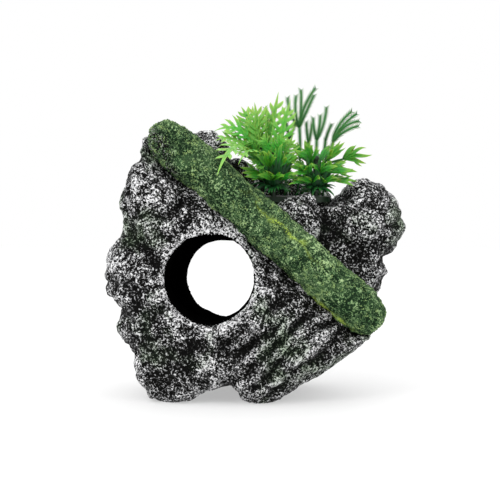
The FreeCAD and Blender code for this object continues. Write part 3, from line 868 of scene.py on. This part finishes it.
# Needle fronds: peg hole, then the halfway point and tip of the main stalk and of each stalk
# that starts at its tip.
FRONDS = {
    "needle_frond_left": ((9.6, 7.4), [
        ((8.6, 9.6, 103.0), (7.4, 10.6, 116.0)),
        ((6.8, 11.0, 120.0), (6.2, 11.2, 124.0)),
        ((8.8, 11.0, 119.6), (9.6, 11.2, 122.4)),
    ]),
    "needle_frond_back": ((14.6, 9.2), [
        ((15.8, 11.6, 99.0), (16.6, 12.6, 110.5)),
        ((15.9, 13.0, 114.6), (14.9, 13.2, 119.5)),
        ((18.2, 13.2, 114.2), (19.2, 13.6, 117.6)),
    ]),
    "needle_frond_tall": ((20.0, 7.8), [
        ((21.4, 8.8, 100.0), (21.2, 9.0, 115.6)),
        ((17.4, 9.0, 121.2), (16.0, 9.2, 128.2)),
        ((19.5, 8.8, 121.8), (19.6, 8.9, 129.0)),
        ((21.9, 9.2, 123.8), (21.8, 9.2, 131.6)),
        ((23.4, 9.0, 124.4), (28.0, 9.4, 132.4)),
        ((24.4, 8.6, 122.6), (27.4, 8.2, 129.2)),
    ]),
    "needle_frond_middle": ((25.0, 9.0), [
        ((25.2, 10.2, 98.0), (25.2, 10.6, 108.6)),
        ((24.5, 11.0, 113.0), (24.2, 11.2, 117.6)),
        ((26.2, 11.0, 113.0), (26.6, 11.2, 117.0)),
    ]),
    "needle_frond_fanned": ((27.6, 4.6), [
        ((28.4, 5.6, 98.0), (28.8, 6.0, 110.0)),
        ((27.6, 6.0, 114.8), (27.2, 6.0, 119.2)),
        ((29.9, 6.0, 115.2), (30.3, 6.0, 120.3)),
        ((31.6, 6.2, 116.2), (33.0, 6.2, 123.8)),
    ]),
    "needle_frond_short": ((29.6, 8.6), [
        ((31.4, 9.6, 98.0), (32.6, 9.6, 109.6)),
        ((33.7, 9.4, 113.2), (35.2, 9.2, 116.6)),
    ]),
    "needle_frond_right": ((31.4, 4.6), [
        ((33.2, 5.6, 97.0), (35.9, 6.0, 109.0)),
        ((38.0, 6.2, 115.6), (43.8, 6.4, 122.2)),
        ((39.6, 6.6, 115.4), (46.0, 7.2, 121.2)),
        ((40.6, 5.6, 115.2), (46.9, 5.4, 118.0)),
        ((40.8, 4.8, 113.4), (46.7, 4.2, 115.8)),
    ]),
}
# Grass tufts: post, height of the ring.
TUFTS = {"grass_tuft_right": (RIGHT_POST, 87.2), "grass_tuft_left": (LEFT_POST, 88.0)}
TUFT_BLADES = 72
TUFT_START = 100
TUFT_SWEEP = 340  # degrees from the first blade to the last
GRASS_WIDTH = 1.5
GRASS_REACH = (4.5, 10.4)
LOW_GRASS_RISE = (-3.0, 1.5)
TALL_GRASS_RISE = (4.0, 16.0)

# Serrated leaves, in shares of the leaf: reach of each pair of teeth, where the first pair is,
# the step to the next, how much later the right tooth comes, and the width of each part.
TOOTH_REACH = (0.70, 0.92, 0.95, 0.74, 0.48)
FIRST_TOOTH = 0.20
TOOTH_STEP = 0.135
TOOTH_STAGGER = 0.03
MIDBLADE_WIDTH = 0.28
TOOTH_WIDTH = 0.21
SPUR_WIDTH = 0.16
SPURRED_PAIRS = 4


def add_serrated(out, foot, via, tip, width, facing, seed):
    """Pinnate leaf: a narrow midblade with pairs of forward-pointing teeth, the largest toothed."""
    dice = random.Random(seed)
    out.tone = dice.random()
    point, tangent = bend(foot, via, tip)
    add_blade(
        out, foot, via, tip, facing, width * MIDBLADE_WIDTH, rows=20, base=0.28, belly=0.5
    )
    for k, size in enumerate(TOOTH_REACH):
        for hand in (-1, 1):
            t = FIRST_TOOTH + TOOTH_STEP * k + TOOTH_STAGGER * (hand > 0)
            t += dice.uniform(-0.015, 0.015)
            along = tangent(t)
            side, face = across_at(along, facing)
            root = point(t)
            reach = width * size * dice.uniform(0.88, 1.12)
            out_dir = side * hand
            lift = face * dice.uniform(-0.6, 0.9)
            end = root + out_dir * (reach * 0.66) + along * (reach * 0.80) + lift
            bow = root + out_dir * (reach * 0.42) + along * (reach * 0.30)
            add_blade(
                out, root - along * 0.4, bow, end, facing, width * TOOTH_WIDTH, rows=8,
                base=0.85, belly=0.4, thick=0.3, start=t, end=min(1.0, t + 0.5),
            )
            if k < SPURRED_PAIRS:
                spur = bow + out_dir * (reach * 0.34) + along * (reach * 0.10) + lift * 0.5
                add_blade(
                    out, (root + bow) * 0.5, (root + bow * 2 + spur) * 0.25, spur, facing,
                    width * SPUR_WIDTH, rows=5, base=0.8, belly=0.3, thick=0.26, start=t + 0.1,
                    end=min(1.0, t + 0.45),
                )


def add_forked(out, foot, fork, tips, width, facing, dice):
    """Stalk that parts into narrow lobes, each with one side point."""
    out.tone = dice.random()
    bowed = (foot + fork) * 0.5 + Vector((0, 0, 0.2))
    add_stalk(out, foot, bowed, fork, 0.55, 0.5, end=0.2)
    for tip in tips:
        tip = Vector(tip)
        via = (fork + tip) * 0.5 + Vector((0, 0, 0.6))
        wide = width * dice.uniform(0.85, 1.05)
        add_blade(
            out, fork, via, tip, facing, wide, rows=12, base=0.25, belly=0.45, thick=0.4,
            cup=0.2, start=0.15, sway=dice.uniform(-0.9, 0.9),
        )
        point, tangent = bend(fork, via, tip)
        length = (tip - fork).length
        t, hand = dice.uniform(0.3, 0.5), dice.choice((-1, 1))
        side, _ = across_at(tangent(t), facing)
        root = point(t)
        end = root + tangent(t) * (length * 0.34) + side * (hand * length * 0.22)
        bow = root + tangent(t) * (length * 0.14) + side * (hand * length * 0.14)
        add_blade(
            out, root, bow, end, facing, wide * 0.55, rows=6, base=0.8, belly=0.3,
            thick=0.32, start=t, end=min(1.0, t + 0.5),
        )


def around(post, z, azimuth, reach, rise):
    """Point at a distance from a post and a rise above a height, at an azimuth in degrees."""
    turn = math.radians(azimuth)
    return Vector((post[0] + reach * math.cos(turn), post[1] + reach * math.sin(turn), z + rise))


def facing_out(azimuth):
    """Face of a leaf that leans out from its post."""
    turn = math.radians(azimuth)
    return Vector((0.55 * math.cos(turn), 0.55 * math.sin(turn) - 0.55, 0.6)).normalized()


# Smaller leaves that fill a whorl: how many, first azimuth, step, how far they reach and rise.
SERRATED_FILL = {
    "serrated_whorl_upper": (2, 60, 140, 8.0, 14.0),
    "serrated_whorl_middle": (2, 60, 140, 9.0, 10.0),
    "serrated_whorl_lower": (2, 30, 120, 9.0, 7.5),
    "serrated_whorl_front": (3, 215, 105, 7.0, 11.0),
}
FORKED_FILL = {
    "forked_whorl_left_upper": (4, 250, 80, 13.0, 9.0),
    "forked_whorl_left_lower": (5, 262, 66, 13.5, 4.5),
    "forked_whorl_right_upper": (4, 170, 84, 12.5, 10.5),
    "forked_whorl_right_middle": (5, 150, 70, 13.0, 6.5),
    "forked_whorl_right_lower": (5, 180, 66, 12.0, 3.5),
}
# Lobes of a smaller forked leaf: turn from its middle, share of its reach, share of its rise.
FILL_LOBES = ((-30, 0.85, 0.8), (0, 1.0, 1.0), (29, 0.88, 0.7))
FILL_WIDTH = 6.0
FILL_LOBE_WIDTH = 2.6


def serrated_piece(name, post, z, leaves, material):
    out = Builder()
    dice = random.Random(name)
    add_ring(out, post, z)
    for index, (via, tip, width, tilt) in enumerate(leaves):
        foot = ring_edge(post, z, via)
        add_serrated(out, foot, via, tip, width, forward_tilted(tilt), f"{name}{index}")
    count, first, step, reach, rise = SERRATED_FILL[name]
    for k in range(count):
        azimuth = first + step * k + dice.uniform(-8, 8)
        spread = dice.uniform(0.85, 1.15)
        via = around(post, z, azimuth, reach * 0.45 * spread, rise * 0.72)
        tip = around(post, z, azimuth, reach * spread, rise * dice.uniform(0.85, 1.1))
        foot = ring_edge(post, z, via)
        add_serrated(out, foot, via, tip, FILL_WIDTH, facing_out(azimuth), f"{name}fill{k}")
    return out.finished("leaves_" + name, material)


def forked_piece(name, post, z, leaves, material):
    out = Builder()
    dice = random.Random(name)
    add_ring(out, post, z)
    for fork, tips, width, tilt in leaves:
        foot = ring_edge(post, z, fork)
        add_forked(out, foot, Vector(fork), tips, width, forward_tilted(tilt), dice)
    count, first, step, reach, rise = FORKED_FILL[name]
    for k in range(count):
        azimuth = first + step * k + dice.uniform(-8, 8)
        spread = dice.uniform(0.85, 1.1)
        fork = around(post, z, azimuth, reach * 0.34 * spread, rise * 0.30)
        tips = [
            around(
                post, z, azimuth + turn, reach * spread * share,
                rise * high * dice.uniform(0.9, 1.1),
            )
            for turn, share, high in FILL_LOBES
        ]
        foot = ring_edge(post, z, fork)
        add_forked(out, foot, fork, tips, FILL_LOBE_WIDTH, facing_out(azimuth), dice)
    return out.finished("leaves_" + name, material)


def tuft_piece(name, post, z, material):
    """Ring of grass blades, low and tall by turns."""
    out = Builder()
    dice = random.Random(name)
    add_ring(out, post, z)
    for k in range(TUFT_BLADES):
        spot = (k + dice.uniform(-0.3, 0.3)) / (TUFT_BLADES - 1)
        azimuth = TUFT_START + TUFT_SWEEP * spot
        reach = dice.uniform(*GRASS_REACH)
        rise = dice.uniform(*(LOW_GRASS_RISE if k % 2 else TALL_GRASS_RISE))
        foot = ring_edge(post, z, around(post, z, azimuth, 1.0, 0.0))
        tip = around(post, z + RING_H / 2.0, azimuth, reach, rise)
        via = (foot + tip) * 0.5 + Vector((0, 0, 1.2))
        add_blade(
            out, foot, via, tip, facing_out(azimuth), GRASS_WIDTH, rows=8, base=0.6,
            belly=0.3, cup=0.3,
        )
    return out.finished("blades_" + name, material)


# ---------------------------------------------------------------- geometry nodes
def geometry_tree(name, inputs):
    tree = bpy.data.node_groups.new(name, "GeometryNodeTree")
    tree.interface.new_socket("Geometry", in_out="INPUT", socket_type="NodeSocketGeometry")
    add_inputs(tree, inputs)
    tree.interface.new_socket("Geometry", in_out="OUTPUT", socket_type="NodeSocketGeometry")
    return tree, tree.nodes.new("NodeGroupInput").outputs, tree.nodes.new("NodeGroupOutput")


def grow(source, tree, name):
    """Runs a geometry tree on a source object and returns the result as a plain mesh object."""
    modifier = source.modifiers.new(name, "NODES")
    modifier.node_group = tree
    made = evaluated_copy(source, name)
    source.modifiers.remove(modifier)
    return made


def random_in(tree, low, high, seed):
    """Random number for each point."""
    made = node_in(tree, "FunctionNodeRandomValue", {2: low, 3: high, "Seed": seed})
    return made.outputs[1]


def cone_in(tree, radius, tip_radius_mm, length):
    """Four-sided cone, standing on its base."""
    return node_in(
        tree, "GeometryNodeMeshCone",
        {"Vertices": 4, "Radius Bottom": radius, "Radius Top": tip_radius_mm * MM,
         "Depth": length},
    ).outputs["Mesh"]


def turned_in(tree, rotation, angles):
    """A rotation turned further about its own axes."""
    euler = node_in(tree, "FunctionNodeEulerToRotation", {0: angles})
    return node_in(
        tree, "FunctionNodeRotateRotation",
        {"Rotation": rotation, "Rotate By": euler.outputs[0]}, rotation_space="LOCAL",
    ).outputs[0]


def scatter(tree, outs, material, points, cone, rotation, scale=(1.0, 1.0, 1.0)):
    """Makes real, painted copies of a cone at points the tree's result."""
    placed = node_in(
        tree, "GeometryNodeInstanceOnPoints",
        {"Points": points, "Instance": cone, "Rotation": rotation, "Scale": scale},
    )
    real = node_in(tree, "GeometryNodeRealizeInstances", {0: placed.outputs[0]})
    painted = node_in(
        tree, "GeometryNodeSetMaterial", {"Geometry": real.outputs[0], "Material": material}
    )
    feed(tree, outs, {0: painted.outputs[0]})


def needle_tree(material):
    """Needles in two rows along a line, leaning towards its tip."""
    tree, ins, outs = geometry_tree("needles", {
        "Spacing": 0.46 * MM, "Needle Length": 1.9 * MM, "Needle Radius": 0.34 * MM,
        "Lean": 0.78, "Spread": 0.6, "Seed": 3,
    })
    length = ins["Needle Length"]
    curve = node_in(tree, "GeometryNodeMeshToCurve", {"Mesh": ins["Geometry"]})
    points = node_in(
        tree, "GeometryNodeCurveToPoints",
        {"Curve": curve.outputs[0], "Length": ins["Spacing"]}, mode="LENGTH",
    )
    upright = node_in(
        tree, "FunctionNodeAlignRotationToVector", {"Vector": points.outputs["Tangent"]}, axis="Z"
    )
    faced = node_in(
        tree, "FunctionNodeAlignRotationToVector",
        {"Rotation": upright.outputs[0], "Vector": (1.0, 0.0, 0.0)}, axis="X", pivot_axis="Z",
    )
    # every second needle is turned half way round, and each swings a little to a side
    index = tree.nodes.new("GeometryNodeInputIndex")
    half_turn = math_in(tree, "MULTIPLY", index.outputs[0], math.pi)
    jitter = random_in(tree, -1.0, 1.0, ins["Seed"])
    swing = math_in(tree, "MULTIPLY", jitter, ins["Spread"])
    turn = math_in(tree, "ADD", half_turn, swing)
    angles = node_in(tree, "ShaderNodeCombineXYZ", {"Y": ins["Lean"], "Z": turn})
    leaned = turned_in(tree, faced.outputs[0], angles.outputs[0])
    needle = cone_in(tree, ins["Needle Radius"], 0.04, length)
    place = tree.nodes.new("GeometryNodeInputPosition").outputs[0]
    rise = node_in(tree, "ShaderNodeSeparateXYZ", {0: place}).outputs[2]
    toned = node_in(
        tree, "GeometryNodeStoreNamedAttribute",
        {"Geometry": needle, "Name": "along", "Value": math_in(tree, "DIVIDE", rise, length)},
    )
    scatter(tree, outs, material, points.outputs["Points"], toned.outputs[0], leaned)
    return tree


def moss_tree(material):
    """Short tufts scattered over a skin, thicker where the clump noise is high."""
    tree, ins, outs = geometry_tree("moss", {
        "Density": 3.0e6, "Tuft Size": 0.30 * MM, "Seed": 8,
    })
    size, seed = ins["Tuft Size"], ins["Seed"]
    clumps = node_in(tree, "ShaderNodeTexNoise", {"Scale": 90.0, "Detail": 2.0})
    share = node_in(
        tree, "ShaderNodeMapRange",
        {0: clumps.outputs[0], 1: 0.38, 2: 0.62, 3: 0.05, 4: 1.0},
    )
    density = math_in(tree, "MULTIPLY", share.outputs[0], ins["Density"])
    points = node_in(
        tree, "GeometryNodeDistributePointsOnFaces",
        {"Mesh": ins["Geometry"], "Density": density, "Seed": seed},
    )
    tilt = node_in(
        tree, "FunctionNodeRandomValue",
        {0: (-0.7, -0.7, 0.0), 1: (0.7, 0.7, 6.28), "Seed": 5}, data_type="FLOAT_VECTOR",
    )
    leaned = turned_in(tree, points.outputs["Rotation"], tilt.outputs[0])
    tuft = cone_in(tree, size, 0.06, math_in(tree, "MULTIPLY", size, 1.5))
    scale = random_in(tree, 0.5, 1.25, seed)
    scatter(tree, outs, material, points.outputs["Points"], tuft, leaned, scale)
    return tree


PEG_DEPTH = 1.9  # how deep a frond's peg sits in the plate
BARE_STALK = 0.2  # share of a main stalk without needles
LINE_STEPS = 12


def frond_pieces(name, hole, stalks, stem_material, tree):
    """Stem mesh, and needles grown along its stalks."""
    out = Builder()
    line_verts, line_edges = [], []
    root, first, end_radius = Vector((hole[0], hole[1], PLATE_TOP - PEG_DEPTH)), BARE_STALK, 0.45
    for via, tip in stalks:
        add_stalk(out, root, via, tip, 0.5, end_radius, rows=10, end=0.6)
        point, _ = bend(root, via, tip)
        start = len(line_verts)
        for k in range(LINE_STEPS + 1):
            line_verts.append(point(first + (1.0 - first) * k / LINE_STEPS))
        line_edges += [(start + k, start + k + 1) for k in range(LINE_STEPS)]
        # the other stalks start at the main stalk's tip
        root, first, end_radius = Vector(stalks[0][1]), 0.0, 0.34
    stems = out.finished("stems_" + name, stem_material)
    mesh = bpy.data.meshes.new(name + "_line")
    mesh.from_pydata([tuple(p) for p in to_frame(line_verts)], line_edges, [])
    line = linked(name + "_line", mesh)
    needles = grow(line, tree, "needles_" + name)
    bpy.data.objects.remove(line)
    return stems, needles


# ---------------------------------------------------------------- assembly
def build_rock():
    materials = rock_material(), cave_material()
    for node, voxel, front in (("front_rock", FRONT_VOXEL, True), ("rear_rock", REAR_VOXEL, False)):
        skin = rock_skin(node, voxel, front, materials)
        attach(skin, "rock")
        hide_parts(node)
    bark = branch_skin()
    bark.data.materials.append(branch_material())
    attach(bark, "rock")
    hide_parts("mossy_branch")
    tufts = grow(bark, moss_tree(moss_material()), "branch_moss")
    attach(tufts, "rock")


def build_plants():
    plastics = {name: plastic_material(name) for name in PLASTICS}
    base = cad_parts["plant_base"].data
    base.materials.clear()
    base.materials.append(plastics["plant_base"])
    made = []
    for name, (post, z, leaves) in SERRATED_WHORLS.items():
        piece = serrated_piece(name, post, z, leaves, plastics["bright_leaf"])
        made.append((piece, name, "bright_leaf_plastic"))
    for name, (post, z, leaves) in FORKED_WHORLS.items():
        piece = forked_piece(name, post, z, leaves, plastics["forked_leaf"])
        made.append((piece, name, "forked_leaf_plastic"))
    tree = needle_tree(plastics["needle"])
    for name, (hole, stalks) in FRONDS.items():
        stems, needles = frond_pieces(name, hole, stalks, plastics["needle"], tree)
        made.append((stems, name, "needle_plastic"))
        made.append((needles, None, "needle_plastic"))
    for name, (post, z) in TUFTS.items():
        piece = tuft_piece(name, post, z, plastics["grass"])
        made.append((piece, name, "grass_plastic"))
    for piece, node, slot in made:
        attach(piece, "plants")
        if node:
            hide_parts(node)


FLOOR_HALF = 900
FLOOR_GLOW = 0.42
WHITE = (1.0, 1.0, 1.0)
# Lamps: place, size, power.
LAMPS = {
    "key": ((-260, -420, 430), 260, 1.1), "fill": ((380, -300, 260), 320, 0.25),
    "back": ((60, 420, 380), 300, 0.4),
}
LAMP_AIM = (0, 0, 60)
CAMERA_AIM = (0.0, 0.0, 62.0)
CAMERA_AZIMUTH = math.radians(3.5)
CAMERA_ELEVATION = math.radians(4.0)
CAMERA_AWAY = 520.0
CAMERA_LENS = 85.9


def build_floor():
    low, high = -FLOOR_HALF, FLOOR_HALF
    floor = new_object(
        "floor", [(low, low, 0), (high, low, 0), (high, high, 0), (low, high, 0)], [(0, 1, 2, 3)]
    )
    material, tree, shader, place = start_material("floor")
    tone = ramp_in(tree, noise_in(tree, place, 3.0), [(0.3, 0.50), (0.7, 0.52)])
    feed(tree, shader, {
        "Base Color": tone, "Emission Color": WHITE, "Emission Strength": FLOOR_GLOW,
        "Roughness": 0.9,
    })
    floor.data.materials.append(material)


def build_lights():
    """Sky that lights from above, seen as plain white, and three soft lamps."""
    world = bpy.data.worlds.new("studio")
    bpy.context.scene.world = world
    world.use_nodes = True
    tree = world.node_tree
    direction = tree.nodes.new("ShaderNodeTexCoord").outputs["Generated"]
    height = node_in(tree, "ShaderNodeSeparateXYZ", {0: direction}).outputs[2]
    sky = node_in(tree, "ShaderNodeMapRange", {0: height, 1: -0.1, 2: 0.9, 3: 0.55, 4: 1.35})
    lighting = tree.nodes["Background"]
    feed(tree, lighting, {0: WHITE, 1: sky.outputs[0]})
    backdrop = node_in(tree, "ShaderNodeBackground", {0: WHITE, 1: 1.0})
    seen = tree.nodes.new("ShaderNodeLightPath").outputs["Is Camera Ray"]
    both = node_in(
        tree, "ShaderNodeMixShader", {0: seen, 1: lighting.outputs[0], 2: backdrop.outputs[0]}
    )
    feed(tree, tree.nodes["World Output"], {0: both.outputs[0]})
    for name, (place, size, power) in LAMPS.items():
        data = bpy.data.lights.new(name, "AREA")
        data.size = size * MM
        data.energy = power
        lamp = linked(name, data)
        lamp.location = to_frame([place])[0]
        aim = Vector(to_frame([LAMP_AIM])[0]) - lamp.location
        lamp.rotation_euler = aim.to_track_quat("-Z", "Y").to_euler()


def build_camera():
    back = Vector((
        math.sin(CAMERA_AZIMUTH) * math.cos(CAMERA_ELEVATION),
        -math.cos(CAMERA_AZIMUTH) * math.cos(CAMERA_ELEVATION), math.sin(CAMERA_ELEVATION),
    ))
    data = bpy.data.cameras.new("camera")
    data.sensor_width = 36.0
    data.lens = CAMERA_LENS
    camera = linked("camera", data)
    camera.location = Vector(to_frame([CAMERA_AIM])[0]) + back * CAMERA_AWAY * MM
    camera.rotation_euler = (-back).to_track_quat("-Z", "Y").to_euler()
    bpy.context.scene.camera = camera


build_rock()
build_plants()
build_floor()
build_lights()
build_camera()
bpy.context.scene.view_settings.view_transform = "Standard"
